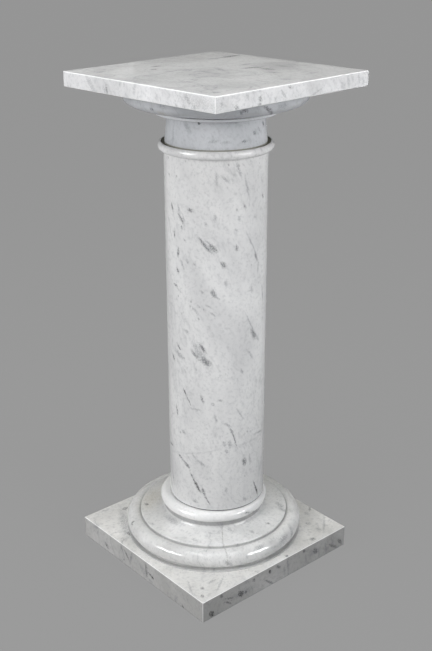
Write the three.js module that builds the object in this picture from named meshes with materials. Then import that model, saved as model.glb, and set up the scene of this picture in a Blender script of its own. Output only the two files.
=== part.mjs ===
// A plain Doric column of polished white marble, used as a pedestal.
// Millimetres, +Z up. The origin is the middle of the plinth's underside, on the ground.
import * as THREE from "three";

// Square stones
const slabSide = 400;
const slabThickness = 28.3;
const slabArris = 2.2;
const plinthSide = 407;
const plinthThickness = 47;
const plinthArris = 1.8;

// How the stones were set: the upper ones stand a little off the plinth's middle,
// and the top slab is turned a few degrees against the plinth.
const setOffX = 4.9;
const setOffY = 5.7;
const slabTurn = 3.9;

// The thin bed left between one stone and the next
const bed = 0.3;

// Shaft, with the half-round astragal and the seat for the capital at its top
const shaftRadius = 100;
const shaftHeight = 755.6;
const shaftArris = 1.2;
const astragalProjection = 11;
const astragalDepth = 6.6;
const astragalHalfHeight = 7.8;
const flareDepth = 2.6;
const flareHeight = 5;
const seatRim = 0.4;
const seatDepth = 4;

// Base moulding: a low fillet, the large torus, a lip, the sloping apron, a cove,
// an upright collar and the small torus that the shaft stands on
const plinthMargin = 15;
const footFilletSetBack = 1;
const footFilletHeight = 2;
const largeTorusHalfHeight = 19.5;
const torusUndercut = 62;
const lipSetBack = 10.5;
const lipHeight = 7.5;
const lipRounding = 2.8;
const lipSweep = 80;
const apronRise = 6.7;
const coveRadius = 8;
const coveSweep = 82;
const collarProjection = 7;
const collarHeight = 7.2;
const smallTorusProjection = 14;
const smallTorusHalfHeight = 11.5;

// Capital: the neck standing in the seat, a fillet, a quirk, the echinus and the band under the slab
const neckGap = 5.4;
const neckHeight = 58.4;
const neckTaper = 5;
const neckHollow = 0.9;
const neckArris = 1.2;
const neckFilletProjection = 24.4;
const neckFilletHeight = 5.8;
const quirkDepth = 6;
const quirkHeight = 3.8;
const slabOverhang = 25;
const echinusHeight = 22.5;
const echinusFullness = 2.3;
const bandHeight = 12.6;

// Facets of the turned stones, and steps along the curves of their outlines
const turns = 64;
const arrisSteps = 3;
const flareSteps = 3;
const astragalSteps = 9;
const largeTorusSteps = 11;
const lipSteps = 3;
const coveSteps = 4;
const smallTorusSteps = 10;
const neckSteps = 4;
const echinusSteps = 8;

// Radii, worked out from the square stones and from the shaft
const largeTorusReach = plinthSide / 2 - plinthMargin;
const largeTorusCentre = largeTorusReach - largeTorusHalfHeight;
const footFilletRadius = largeTorusReach - footFilletSetBack;
const lipRadius = largeTorusCentre - lipSetBack;
const collarRadius = shaftRadius + collarProjection;
const smallTorusCentre = shaftRadius + smallTorusProjection - smallTorusHalfHeight;
const astragalCentre = shaftRadius + astragalProjection - astragalDepth;
const seatRadius = astragalCentre - seatRim;
const neckFootRadius = seatRadius - neckGap;
const neckTopRadius = neckFootRadius - neckTaper;
const neckFilletRadius = neckTopRadius + neckFilletProjection;
const quirkRadius = neckFilletRadius - quirkDepth;
const echinusRadius = slabSide / 2 - slabOverhang;

// Where the lip leaves the large torus, and where the collar meets the small one
const creaseAngle = 90 + degrees(Math.asin(lipSetBack / largeTorusHalfHeight));
const smallTorusFoot = -degrees(Math.acos((collarRadius - smallTorusCentre) / smallTorusHalfHeight));

// Levels, from the ground up
const baseFoot = plinthThickness + bed;
const largeTorusLevel = baseFoot + footFilletHeight + largeTorusHalfHeight;
const lipLevel = largeTorusLevel + arcRise(largeTorusHalfHeight, creaseAngle) + lipHeight;
const coveLevel = lipLevel + apronRise;
const collarTop = coveLevel + coveRadius + collarHeight;
const smallTorusLevel = collarTop - arcRise(smallTorusHalfHeight, smallTorusFoot);
const baseTop = smallTorusLevel + smallTorusHalfHeight;
const shaftFoot = baseTop + bed;
const shaftTop = shaftFoot + shaftHeight;
const astragalLevel = shaftTop - astragalHalfHeight;
const seatLevel = shaftTop - seatDepth;
const capitalFoot = seatLevel + bed;
const neckTop = capitalFoot + neckHeight;
const echinusFoot = neckTop + neckFilletHeight + quirkHeight;
const capitalTop = echinusFoot + echinusHeight + bandHeight;
const slabFoot = capitalTop + bed;

function degrees(angle) {
  return THREE.MathUtils.radToDeg(angle);
}

// How far a point on an arc stands above the arc's centre, its angle in degrees from level.
function arcRise(radius, angle) {
  return radius * Math.sin(THREE.MathUtils.degToRad(angle));
}

function point(radius, level) {
  return new THREE.Vector2(radius, level);
}

// Points along an arc from one angle to another, in degrees from the outward direction.
function arc(centre, level, reach, height, from, to, steps) {
  return Array.from({ length: steps + 1 }, (_, i) => {
    const angle = THREE.MathUtils.degToRad(from + ((to - from) * i) / steps);
    return point(centre + reach * Math.cos(angle), level + height * Math.sin(angle));
  });
}

// A stone turned about the vertical axis, from its outline listed upwards.
function turned(outline) {
  const geometry = new THREE.LatheGeometry(outline, turns);
  geometry.rotateX(Math.PI / 2);
  return geometry;
}

// A square stone, lying flat, with every arris eased and its four corners a little more.
function squareStone(side, thickness, arris) {
  const cornerRounding = arris / 2;
  const corner = side / 2 - arris - cornerRounding;
  const outline = new THREE.Shape();
  for (let quarter = 0; quarter < 4; quarter += 1) {
    const start = (quarter * Math.PI) / 2;
    const middle = start + Math.PI / 4;
    const x = corner * Math.sign(Math.cos(middle));
    const y = corner * Math.sign(Math.sin(middle));
    outline.absarc(x, y, cornerRounding, start, start + Math.PI / 2, false);
  }
  const geometry = new THREE.ExtrudeGeometry(outline, {
    depth: thickness - 2 * arris,
    bevelThickness: arris,
    bevelSize: arris,
    bevelSegments: arrisSteps,
    curveSegments: arrisSteps,
  });
  geometry.translate(0, 0, arris);
  return geometry;
}

function baseOutline() {
  const largeTorus = arc(largeTorusCentre, largeTorusLevel, largeTorusHalfHeight, largeTorusHalfHeight,
    -torusUndercut, creaseAngle, largeTorusSteps);
  const lip = arc(lipRadius - lipRounding, lipLevel - lipRounding, lipRounding, lipRounding,
    0, lipSweep, lipSteps);
  const cove = arc(collarRadius + coveRadius, coveLevel + coveRadius, coveRadius, coveRadius,
    180 + coveSweep, 180, coveSteps);
  const smallTorus = arc(smallTorusCentre, smallTorusLevel, smallTorusHalfHeight, smallTorusHalfHeight,
    smallTorusFoot, 90, smallTorusSteps);
  return [
    point(0, baseFoot),
    point(footFilletRadius, baseFoot),
    point(footFilletRadius, baseFoot + footFilletHeight),
    point(largeTorus[0].x, baseFoot + footFilletHeight),
    ...largeTorus,
    ...lip,
    ...cove,
    ...smallTorus,
    point(0, baseTop),
  ];
}

function shaftOutline() {
  const flareFoot = astragalLevel - astragalHalfHeight - flareHeight;
  return [
    point(0, shaftFoot),
    point(shaftRadius - shaftArris, shaftFoot),
    point(shaftRadius, shaftFoot + shaftArris),
    ...arc(shaftRadius + flareDepth, flareFoot, flareDepth, flareHeight, 180, 90, flareSteps),
    ...arc(astragalCentre, astragalLevel, astragalDepth, astragalHalfHeight, -90, 90, astragalSteps),
    point(seatRadius, seatLevel),
    point(0, seatLevel),
  ];
}

// The neck tapers upwards, a little hollow between its ends.
function neckOutline() {
  return Array.from({ length: neckSteps + 1 }, (_, i) => {
    const share = i / neckSteps;
    const radius = neckFootRadius - neckTaper * share - neckHollow * Math.sin(Math.PI * share);
    return point(radius, THREE.MathUtils.lerp(capitalFoot + neckArris, neckTop, share));
  });
}

// The echinus swells from the quirk to the band, fuller than a quarter of an ellipse.
function echinusOutline() {
  return Array.from({ length: echinusSteps + 1 }, (_, i) => {
    const angle = Math.acos(1 - i / echinusSteps);
    const out = Math.sin(angle) ** (2 / echinusFullness);
    const down = Math.abs(Math.cos(angle)) ** (2 / echinusFullness);
    const radius = THREE.MathUtils.lerp(quirkRadius, echinusRadius, out);
    return point(radius, echinusFoot + echinusHeight * (1 - down));
  });
}

function capitalOutline() {
  return [
    point(0, capitalFoot),
    point(neckFootRadius - neckArris, capitalFoot),
    ...neckOutline(),
    point(neckFilletRadius, neckTop),
    point(neckFilletRadius, neckTop + neckFilletHeight),
    point(quirkRadius, neckTop + neckFilletHeight),
    ...echinusOutline(),
    point(echinusRadius, capitalTop),
    point(0, capitalTop),
  ];
}

// Polished marble, each stone a little different in tone
function marble(color, roughness) {
  return new THREE.MeshStandardMaterial({ color, roughness, metalness: 0 });
}

function stone(name, geometry, material) {
  const mesh = new THREE.Mesh(geometry, material);
  mesh.name = name;
  return mesh;
}

function plinth() {
  return stone("plinth", squareStone(plinthSide, plinthThickness, plinthArris), marble(0xd3d2ce, 0.2));
}

function baseMoulding() {
  return stone("base_moulding", turned(baseOutline()), marble(0xdad9d5, 0.16));
}

function shaft() {
  return stone("shaft", turned(shaftOutline()), marble(0xd2d3d4, 0.16));
}

function capital() {
  return stone("capital", turned(capitalOutline()), marble(0xb9bcc2, 0.18));
}

function topSlab() {
  const slab = stone("top_slab", squareStone(slabSide, slabThickness, slabArris), marble(0xd8d7d4, 0.14));
  slab.position.z = slabFoot;
  slab.rotation.z = THREE.MathUtils.degToRad(slabTurn);
  return slab;
}

const upperStones = new THREE.Group();
upperStones.position.set(setOffX, setOffY, 0);
upperStones.add(shaft(), capital(), topSlab());

const column = new THREE.Group();
column.add(plinth(), baseMoulding(), upperStones);

export default column;
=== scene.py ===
# A plain Doric column of polished white marble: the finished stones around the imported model.
# Metres, +Z up. The origin is the middle of the plinth's underside, on the floor.
import math

import bmesh
import bpy
from mathutils import Matrix, Vector, noise
from mathutils.bvhtree import BVHTree


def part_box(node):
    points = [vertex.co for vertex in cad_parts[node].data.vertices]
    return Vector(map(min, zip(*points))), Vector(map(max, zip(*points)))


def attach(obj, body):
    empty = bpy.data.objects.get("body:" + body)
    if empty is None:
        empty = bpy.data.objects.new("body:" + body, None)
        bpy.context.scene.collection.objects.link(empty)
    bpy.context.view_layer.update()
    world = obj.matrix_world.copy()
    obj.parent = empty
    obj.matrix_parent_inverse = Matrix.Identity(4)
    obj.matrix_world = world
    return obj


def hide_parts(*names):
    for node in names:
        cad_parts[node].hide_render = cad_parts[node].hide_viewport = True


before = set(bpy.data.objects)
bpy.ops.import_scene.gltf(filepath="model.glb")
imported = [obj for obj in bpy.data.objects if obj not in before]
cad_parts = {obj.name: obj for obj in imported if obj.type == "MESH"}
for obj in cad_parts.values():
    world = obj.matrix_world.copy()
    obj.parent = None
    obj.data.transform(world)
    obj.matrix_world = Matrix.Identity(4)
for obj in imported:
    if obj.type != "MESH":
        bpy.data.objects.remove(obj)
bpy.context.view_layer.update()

MM = 0.001

# The photograph's frame, in pixels
PHOTO_WIDTH = 432
PHOTO_HEIGHT = 651

# The camera: where it stands round the column, how far it looks down, and its small tilt
CAMERA_AZIMUTH = math.radians(49.16)
CAMERA_FALL = math.radians(22.167)
CAMERA_ROLL = math.radians(-0.158)
CAMERA_YAW = math.radians(-0.055)
CAMERA_DISTANCE = 2.0769
CAMERA_AIM_LEVEL = 0.5132
CAMERA_SIDEWAYS = 4.67 * MM
CAMERA_LENS = 56.54
SENSOR = 36

# Directions as the photograph shows them
RIGHTWARDS = Vector((math.cos(CAMERA_AZIMUTH), math.sin(CAMERA_AZIMUTH), 0))
AWAY = Vector((-math.sin(CAMERA_AZIMUTH), math.cos(CAMERA_AZIMUTH), 0))
UP = Vector((0, 0, 1))

# Facets of the turned stones, and the widest step along an arc of an outline
TURNS = 288
ARC_STEP = 5.0


def in_view(right, away, up):
    """A place given by how far it is to the photograph's right, away from the camera and up."""
    return RIGHTWARDS * right + AWAY * away + UP * up


# Camera

def camera_axes():
    """The camera's right, up and forward directions."""
    turn = Matrix.Rotation(CAMERA_YAW, 3, "Z")
    forward = turn @ (AWAY * math.cos(CAMERA_FALL) - UP * math.sin(CAMERA_FALL))
    level_right = turn @ RIGHTWARDS
    level_up = level_right.cross(forward)
    right = level_right * math.cos(CAMERA_ROLL) + level_up * math.sin(CAMERA_ROLL)
    up = level_up * math.cos(CAMERA_ROLL) - level_right * math.sin(CAMERA_ROLL)
    return right, up, forward


def camera_place():
    fall = Vector((CAMERA_SIDEWAYS, -math.cos(CAMERA_FALL) * CAMERA_DISTANCE, 0))
    level = CAMERA_AIM_LEVEL + math.sin(CAMERA_FALL) * CAMERA_DISTANCE
    return in_view(fall.x, fall.y, level)


def make_camera():
    right, up, forward = camera_axes()
    data = bpy.data.cameras.new("Camera")
    data.lens = CAMERA_LENS
    data.sensor_width = SENSOR
    camera = bpy.data.objects.new("Camera", data)
    pose = Matrix((right, up, -forward)).transposed().to_4x4()
    pose.translation = camera_place()
    camera.matrix_world = pose
    bpy.context.collection.objects.link(camera)
    bpy.context.scene.camera = camera


def sight(pixel):
    """The direction from the camera through a pixel of the photograph."""
    right, up, forward = camera_axes()
    focal = CAMERA_LENS / SENSOR * PHOTO_HEIGHT
    across = (pixel[0] - PHOTO_WIDTH / 2) / focal
    down = (pixel[1] - PHOTO_HEIGHT / 2) / focal
    return (forward + right * across - up * down).normalized()


# Outlines of the turned stones: lists of (radius, level), upwards

def arc(centre, level, reach, height, start, end):
    """Points along an arc from one angle to another, in degrees from the outward direction."""
    steps = max(2, math.ceil(abs(end - start) / ARC_STEP))
    points = []
    for i in range(steps + 1):
        angle = math.radians(start + (end - start) * i / steps)
        points.append((centre + reach * math.cos(angle), level + height * math.sin(angle)))
    return points


def eased(outline, radius, sharpest=20, steps=4):
    """The outline with each corner that turns by more than `sharpest` degrees rounded."""
    points = [Vector(p) for p in outline]
    rounded = [points[0]]
    for before, here, after in zip(points, points[1:], points[2:]):
        back, on = before - here, after - here
        turn = 180 - math.degrees(back.angle(on))
        if turn < sharpest:
            rounded.append(here)
            continue
        cut = min(radius * math.tan(math.radians(turn) / 2), 0.45 * back.length, 0.45 * on.length)
        start, end = here + back.normalized() * cut, here + on.normalized() * cut
        for i in range(steps + 1):
            share = i / steps
            rounded.append(start * (1 - share) ** 2 + here * 2 * share * (1 - share) + end * share ** 2)
    rounded.append(points[-1])
    return rounded


def make_object(name, mesh):
    stone = bpy.data.objects.new(name, mesh)
    bpy.context.collection.objects.link(stone)
    return stone


def turned(name, outline, axis):
    """A stone turned about the vertical line through axis. Its outline starts and ends on that line."""
    work = bmesh.new()
    ring_angles = [math.tau * i / TURNS for i in range(TURNS)]
    rings = []
    for radius, level in outline:
        if radius < 1e-6:
            rings.append([work.verts.new((axis.x, axis.y, level))])
            continue
        rings.append([
            work.verts.new((axis.x + radius * math.cos(a), axis.y + radius * math.sin(a), level))
            for a in ring_angles
        ])
    for lower, upper in zip(rings, rings[1:]):
        for i in range(TURNS):
            j = (i + 1) % TURNS
            if len(lower) == 1:
                work.faces.new((lower[0], upper[j], upper[i]))
            elif len(upper) == 1:
                work.faces.new((lower[i], lower[j], upper[0]))
            else:
                work.faces.new((lower[i], lower[j], upper[j], upper[i]))
    return finished(name, work)


def finished(name, work):
    """Turns the bmesh into a smooth-shaded object whose flat faces stay flat."""
    mesh = bpy.data.meshes.new(name)
    work.to_mesh(mesh)
    work.free()
    mesh.shade_smooth()
    stone = make_object(name, mesh)
    flat = stone.modifiers.new("Flat faces", "WEIGHTED_NORMAL")
    flat.keep_sharp = True
    return stone


# Base moulding

FOOT_FILLET_HEIGHT = 2 * MM
LARGE_TORUS_HALF_HEIGHT = 19.5 * MM
TORUS_UNDERCUT = 62
PLINTH_MARGIN = 15 * MM
FOOT_FILLET_SET_BACK = 1 * MM
LIP_SET_BACK = 10.5 * MM
LIP_HEIGHT = 7.5 * MM
LIP_ROUNDING = 2.8 * MM
LIP_SWEEP = 80
COVE_RADIUS = 8 * MM
COVE_SWEEP = 82
APRON_RISE = 6.7 * MM
COLLAR_PROJECTION = 7 * MM
SMALL_TORUS_PROJECTION = 14 * MM
SMALL_TORUS_HALF_HEIGHT = 11.5 * MM

# Shaft
SHAFT_RADIUS = 100 * MM
SHAFT_ARRIS = 1.2 * MM
ASTRAGAL_PROJECTION = 11 * MM
ASTRAGAL_DEPTH = 6.6 * MM
ASTRAGAL_HALF_HEIGHT = 7.8 * MM
FLARE_DEPTH = 2.6 * MM
FLARE_HEIGHT = 5 * MM
SEAT_RIM = 0.4 * MM
SEAT_DEPTH = 4 * MM

# Capital
NECK_GAP = 5.4 * MM
NECK_HEIGHT = 58.4 * MM
NECK_TAPER = 5 * MM
NECK_HOLLOW = 0.9 * MM
NECK_ARRIS = 1.2 * MM
NECK_FILLET_PROJECTION = 24.4 * MM
NECK_FILLET_HEIGHT = 5.8 * MM
QUIRK_DEPTH = 6 * MM
QUIRK_HEIGHT = 3.8 * MM
SLAB_OVERHANG = 25 * MM
ECHINUS_HEIGHT = 22.5 * MM
ECHINUS_FULLNESS = 2.3

# Square stones
SLAB_SIDE = 400 * MM
SLAB_ARRIS = 2.2 * MM
SLAB_TURN = math.radians(3.9)
PLINTH_SIDE = 407 * MM
PLINTH_ARRIS = 1.8 * MM

# How sharp the turned edges are
FINE_EASE = 0.7 * MM

NECK_STEPS = 12
ECHINUS_STEPS = 26


def levels(node):
    """The lowest and highest level of a packed stone."""
    low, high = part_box(node)
    return low.z, high.z


def middle(node):
    low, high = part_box(node)
    return (low + high) / 2


def base_outline():
    foot, top = levels("base_moulding")
    half = LARGE_TORUS_HALF_HEIGHT
    small_half = SMALL_TORUS_HALF_HEIGHT
    reach = PLINTH_SIDE / 2 - PLINTH_MARGIN
    centre = reach - half
    torus_level = foot + FOOT_FILLET_HEIGHT + half
    crease_angle = 90 + math.degrees(math.asin(LIP_SET_BACK / half))
    lip_level = torus_level + half * math.sin(math.radians(crease_angle)) + LIP_HEIGHT
    lip_radius = centre - LIP_SET_BACK
    cove_level = lip_level + APRON_RISE + COVE_RADIUS
    collar = SHAFT_RADIUS + COLLAR_PROJECTION
    small_centre = SHAFT_RADIUS + SMALL_TORUS_PROJECTION - small_half
    small_foot = math.degrees(math.acos((collar - small_centre) / small_half))
    torus = arc(centre, torus_level, half, half, -TORUS_UNDERCUT, crease_angle)
    fillet = reach - FOOT_FILLET_SET_BACK
    return [
        (0, foot),
        (fillet, foot),
        (fillet, foot + FOOT_FILLET_HEIGHT),
        (torus[0][0], foot + FOOT_FILLET_HEIGHT),
        *torus,
        *arc(lip_radius - LIP_ROUNDING, lip_level - LIP_ROUNDING, LIP_ROUNDING, LIP_ROUNDING, 0, LIP_SWEEP),
        *arc(collar + COVE_RADIUS, cove_level, COVE_RADIUS, COVE_RADIUS, 180 + COVE_SWEEP, 180),
        *arc(small_centre, top - small_half, small_half, small_half, -small_foot, 90),
        (0, top),
    ]


def astragal_centre():
    return SHAFT_RADIUS + ASTRAGAL_PROJECTION - ASTRAGAL_DEPTH


def shaft_outline():
    foot, top = levels("shaft")
    astragal_level = top - ASTRAGAL_HALF_HEIGHT
    flare_foot = astragal_level - ASTRAGAL_HALF_HEIGHT - FLARE_HEIGHT
    seat = astragal_centre() - SEAT_RIM
    return [
        (0, foot),
        (SHAFT_RADIUS - SHAFT_ARRIS, foot),
        (SHAFT_RADIUS, foot + SHAFT_ARRIS),
        *arc(SHAFT_RADIUS + FLARE_DEPTH, flare_foot, FLARE_DEPTH, FLARE_HEIGHT, 180, 90),
        *arc(astragal_centre(), astragal_level, ASTRAGAL_DEPTH, ASTRAGAL_HALF_HEIGHT, -90, 90),
        (seat, top - SEAT_DEPTH),
        (0, top - SEAT_DEPTH),
    ]


def capital_outline():
    foot, top = levels("capital")
    neck_foot = astragal_centre() - SEAT_RIM - NECK_GAP
    neck_top = foot + NECK_HEIGHT
    fillet = neck_foot - NECK_TAPER + NECK_FILLET_PROJECTION
    quirk = fillet - QUIRK_DEPTH
    echinus_foot = neck_top + NECK_FILLET_HEIGHT + QUIRK_HEIGHT
    echinus_radius = SLAB_SIDE / 2 - SLAB_OVERHANG
    neck = []
    for i in range(NECK_STEPS + 1):
        share = i / NECK_STEPS
        radius = neck_foot - NECK_TAPER * share - NECK_HOLLOW * math.sin(math.pi * share)
        neck.append((radius, foot + NECK_ARRIS + (neck_top - foot - NECK_ARRIS) * share))
    echinus = []
    for i in range(ECHINUS_STEPS + 1):
        angle = math.pi / 2 * i / ECHINUS_STEPS
        out = math.sin(angle) ** (2 / ECHINUS_FULLNESS)
        down = max(0, math.cos(angle)) ** (2 / ECHINUS_FULLNESS)
        echinus.append((quirk + (echinus_radius - quirk) * out, echinus_foot + ECHINUS_HEIGHT * (1 - down)))
    return [
        (0, foot),
        (neck_foot - NECK_ARRIS, foot),
        *neck,
        (fillet, neck_top),
        (fillet, neck_top + NECK_FILLET_HEIGHT),
        (quirk, neck_top + NECK_FILLET_HEIGHT),
        *echinus,
        (echinus_radius, top),
        (0, top),
    ]


def square_stone(name, node, side, arris, turn):
    """A square stone, its arrises rounded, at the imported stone's place."""
    foot, top = levels(node)
    centre = middle(node)
    work = bmesh.new()
    bmesh.ops.create_cube(work, size=1)
    bmesh.ops.scale(work, vec=(side, side, top - foot), verts=work.verts)
    bmesh.ops.bevel(work, geom=work.edges[:], offset=arris, segments=6, profile=0.5, affect="EDGES")
    spin = Matrix.Rotation(turn, 4, "Z")
    spin.translation = centre
    bmesh.ops.transform(work, matrix=spin, verts=work.verts)
    return finished(name, work)


# Small losses in the stone: each a dent where the photograph shows one

def local_frame(surface, start, end):
    """Where two pixels of the photograph fall on a stone: the middle, half the distance, and the
    directions along, across and out of the surface."""
    hits = [surface.ray_cast(camera_place(), sight(pixel)) for pixel in (start, end)]
    (first, normal, _, _), (second, other_normal, _, _) = hits
    out = (normal + other_normal).normalized()
    along = second - first
    reach = along.length / 2
    if reach < 0.1 * MM:
        along = -UP - AWAY
    along = (along - out * along.dot(out)).normalized()
    return (first + second) / 2, reach, (along, out.cross(along), out)


def surface_of(stone):
    """The stone's surface, for finding where a pixel of the photograph falls on it."""
    work = bmesh.new()
    work.from_mesh(stone.data)
    surface = BVHTree.FromBMesh(work)
    work.free()
    return surface


DENT_CUTS = 4
DENT_RAGGEDNESS = 0.35
DENT_NOISE = 450


def dent(stone, pixel, radius, depth):
    """Knocks a small hollow into a stone where a pixel of the photograph falls on it."""
    centre, _, (_, _, out) = local_frame(surface_of(stone), pixel, pixel)
    work = bmesh.new()
    work.from_mesh(stone.data)
    near = [e for e in work.edges if min((v.co - centre).length for v in e.verts) < radius * 1.3]
    bmesh.ops.subdivide_edges(work, edges=near, cuts=DENT_CUTS, use_grid_fill=True)
    for vertex in work.verts:
        away = (vertex.co - centre).length
        ragged = radius * (1 + DENT_RAGGEDNESS * noise.noise(vertex.co * DENT_NOISE))
        if away < ragged:
            vertex.co -= out * depth * (1 - (away / ragged) ** 2)
    work.to_mesh(stone.data)
    work.free()
    stone.data.shade_smooth()


# Materials: a small toolkit for node trees

class Nodes:
    """Builds one material's node tree. Sockets and plain numbers can both be handed to its methods."""

    def __init__(self, name):
        self.material = bpy.data.materials.new(name)
        self.material.use_nodes = True
        self.tree = self.material.node_tree
        self.shader = self.tree.nodes["Principled BSDF"]

    def add(self, kind, inputs=None, **settings):
        made = self.tree.nodes.new(kind)
        for key, value in settings.items():
            setattr(made, key, value)
        for key, value in (inputs or {}).items():
            self.set(made.inputs[key], value)
        return made

    def set(self, socket, value):
        if isinstance(value, bpy.types.NodeSocket):
            self.tree.links.new(value, socket)
        else:
            socket.default_value = value

    def maths(self, operation, first, second=0.0):
        inputs = {0: first} if second is None else {0: first, 1: second}
        return self.add("ShaderNodeMath", inputs, operation=operation).outputs[0]

    def vector(self, operation, *values):
        made = self.add("ShaderNodeVectorMath", dict(enumerate(values)), operation=operation)
        return made.outputs["Value" if operation == "LENGTH" else "Vector"]

    def ramp(self, value, low, high, start=0.0, end=1.0, smooth=True):
        made = self.add("ShaderNodeMapRange", {0: value, 1: low, 2: high, 3: start, 4: end},
                        interpolation_type="SMOOTHSTEP" if smooth else "LINEAR")
        return made.outputs[0]

    def noise(self, place, scale, detail=3.0, roughness=0.5, distortion=0.0):
        return self.add("ShaderNodeTexNoise", {
            "Vector": place, "Scale": scale, "Detail": detail,
            "Roughness": roughness, "Distortion": distortion,
        }).outputs

    def mapped(self, place, location=(0, 0, 0), rotation=(0, 0, 0), scale=(1, 1, 1), kind="POINT"):
        return self.add("ShaderNodeMapping", {
            "Vector": place, "Location": location, "Rotation": rotation, "Scale": scale,
        }, vector_type=kind).outputs[0]

    def mix(self, share, first, second, blend="MIX"):
        made = self.add("ShaderNodeMix", {0: share}, data_type="RGBA", blend_type=blend)
        self.set(made.inputs[6], first)
        self.set(made.inputs[7], second)
        return made.outputs[2]

    def after(self, place, value):
        """The same place, worked out only once value is known. Cycles can't hold over 80 places at once."""
        return self.vector("MULTIPLY_ADD", value, (0, 0, 0), place)

    def shade(self, share, colour, strength=1.0):
        """Lays a colour over the stone's colour so far."""
        if strength != 1.0:
            share = self.maths("MULTIPLY", share, strength)
        self.colour = self.mix(share, self.colour, colour)


def rgb(red, green, blue):
    """A colour given in display values from 0 to 255, as the shader wants it."""
    values = []
    for level in (red, green, blue):
        share = level / 255
        values.append(share / 12.92 if share <= 0.04045 else ((share + 0.055) / 1.055) ** 2.4)
    return (*values, 1)


# The grain leans to the right on its way down, as the photograph shows it
GRAIN_LEAN = math.radians(24)
GRAIN = (-UP * math.cos(GRAIN_LEAN) + RIGHTWARDS * math.sin(GRAIN_LEAN)).normalized()
GRAIN_TURN = tuple(GRAIN.rotation_difference(UP).to_euler())


RAGGED = 5 * MM


def marble(name, light, cloud, seed, flecks=0.5, veins=0.4, streaks=0.25, roughness=0.075):
    """Polished marble. light and cloud are its two body tones. seed moves the pattern, so that no two
    stones look cut from one place. flecks, veins and streaks are how strongly each of them shows."""
    n = Nodes(name)
    n.place = n.add("ShaderNodeTexCoord").outputs["Object"]
    moved = n.mapped(n.place, location=(seed, seed * 0.7, seed * 1.3))
    grainwise = n.mapped(moved, rotation=GRAIN_TURN)
    wander = n.vector("MULTIPLY", n.noise(moved, 9.0, 2.0)[1], (0.03, 0.03, 0.03))
    warped = n.vector("ADD", grainwise, wander)

    # Body: broad soft clouds, smaller mottling and the fine sugary grain
    broad = n.noise(n.mapped(warped, scale=(1, 1, 0.5)), 6.5, 4.0, 0.55, 0.7)[0]
    mottle = n.noise(moved, 42.0, 4.0, 0.62, 0.3)[0]
    sugar = n.noise(moved, 900.0, 1.0)[0]
    body = n.mix(n.ramp(broad, 0.38, 0.68), light, cloud)
    body = n.mix(n.ramp(mottle, 0.42, 0.75, 0.0, 0.4), body, cloud)
    n.colour = n.mix(n.ramp(sugar, 0.3, 0.7, 0.0, 0.06), body, rgb(150, 150, 150))
    dapple = n.noise(n.mapped(warped, scale=(1, 1, 0.85)), 170.0, 3.0, 0.65)[0]
    n.shade(n.ramp(dapple, 0.46, 0.75, 0.0, 0.3), rgb(146, 148, 152))

    # Streaks: soft thin smears along the grain, thicker in some places than in others
    smear = n.noise(n.mapped(warped, scale=(1, 1, 0.38)), 85.0, 4.0, 0.65)[0]
    streaky = n.ramp(n.noise(moved, 7.0, 2.0)[0], 0.4, 0.62)
    n.shade(n.maths("MULTIPLY", n.ramp(smear, 0.52, 0.72, 0.0, streaks), streaky), rgb(128, 131, 136))

    # Veins: thin wandering lines, faint over most of the stone
    ridge = n.noise(n.mapped(warped, scale=(1, 1, 0.3)), 8.0, 4.0, 0.55, 0.5)[0]
    line = n.maths("ABSOLUTE", n.maths("SUBTRACT", ridge, 0.5), None)
    thread = n.maths("MAXIMUM", n.ramp(line, 0.0, 0.01, 1.0, 0.0), n.ramp(line, 0.0, 0.06, 0.3, 0.0))
    where = n.ramp(n.noise(moved, 4.0, 2.0)[0], 0.47, 0.64, 0.0, veins)
    n.shade(n.maths("MULTIPLY", thread, where), rgb(120, 123, 128))

    # Flecks: small dark lenses that come in clusters
    cells = n.add("ShaderNodeTexVoronoi", {"Vector": n.mapped(warped, scale=(1, 1, 0.65)), "Scale": 120.0})
    pick = n.add("ShaderNodeSeparateColor", {0: cells.outputs["Color"]}).outputs
    size = n.ramp(pick[0], 0.6, 1.0, 0.0, 0.28, smooth=False)
    cluster = n.ramp(n.noise(moved, 12.0, 2.0)[0], 0.46, 0.64)
    inside = n.ramp(n.maths("SUBTRACT", size, cells.outputs["Distance"]), -0.04, 0.12, 0.0, flecks)
    n.shade(n.maths("MULTIPLY", inside, cluster), rgb(78, 81, 86))

    # What ragged edges and broken fillings are made from
    n.ragged = n.noise(n.place, 420.0, 2.0)[0]
    blow = n.vector("SUBTRACT", n.noise(n.place, 260.0, 3.0, 0.6)[1], (0.5, 0.5, 0.5))
    n.blown = n.vector("ADD", n.place, n.vector("MULTIPLY", blow, (RAGGED, RAGGED, RAGGED)))

    n.grain = n.noise(n.place, 480.0, 3.0, 0.65)[0]
    n.last = n.ragged

    # Polish: a little uneven
    n.polish = n.ramp(mottle, 0.3, 0.7, roughness * 0.8, roughness * 1.25)
    bump = n.add("ShaderNodeBump", {
        "Strength": 0.12, "Distance": 0.002, "Height": n.noise(moved, 14.0, 2.0)[0],
    })
    n.set(n.shader.inputs["Normal"], bump.outputs[0])
    n.shader.inputs["IOR"].default_value = 1.5
    return n


def repeat_behind(n, axis, beyond=0.0, sides_only=False):
    """Lets the marks show again on the side that the photograph hides, turned half round the stone's
    axis. beyond is how far behind the axis that starts."""
    off = n.vector("SUBTRACT", n.blown, (axis.x, axis.y, 0))
    depth = n.add("ShaderNodeVectorMath", {0: off, 1: AWAY}, operation="DOT_PRODUCT").outputs["Value"]
    hidden = n.maths("GREATER_THAN", depth, beyond)
    if sides_only:
        hidden = n.maths("MULTIPLY", hidden, upright(n))
    level_off = n.vector("MULTIPLY", off, (1, 1, 0))
    n.blown = n.vector("MULTIPLY_ADD", level_off, n.maths("MULTIPLY", hidden, -2.0), n.blown)


MARKS_AT_ONCE = 25
MARK_SPREAD = 2.0
FAR_OFF = 9.0
EDGE_BREAK = 2.6


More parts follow.
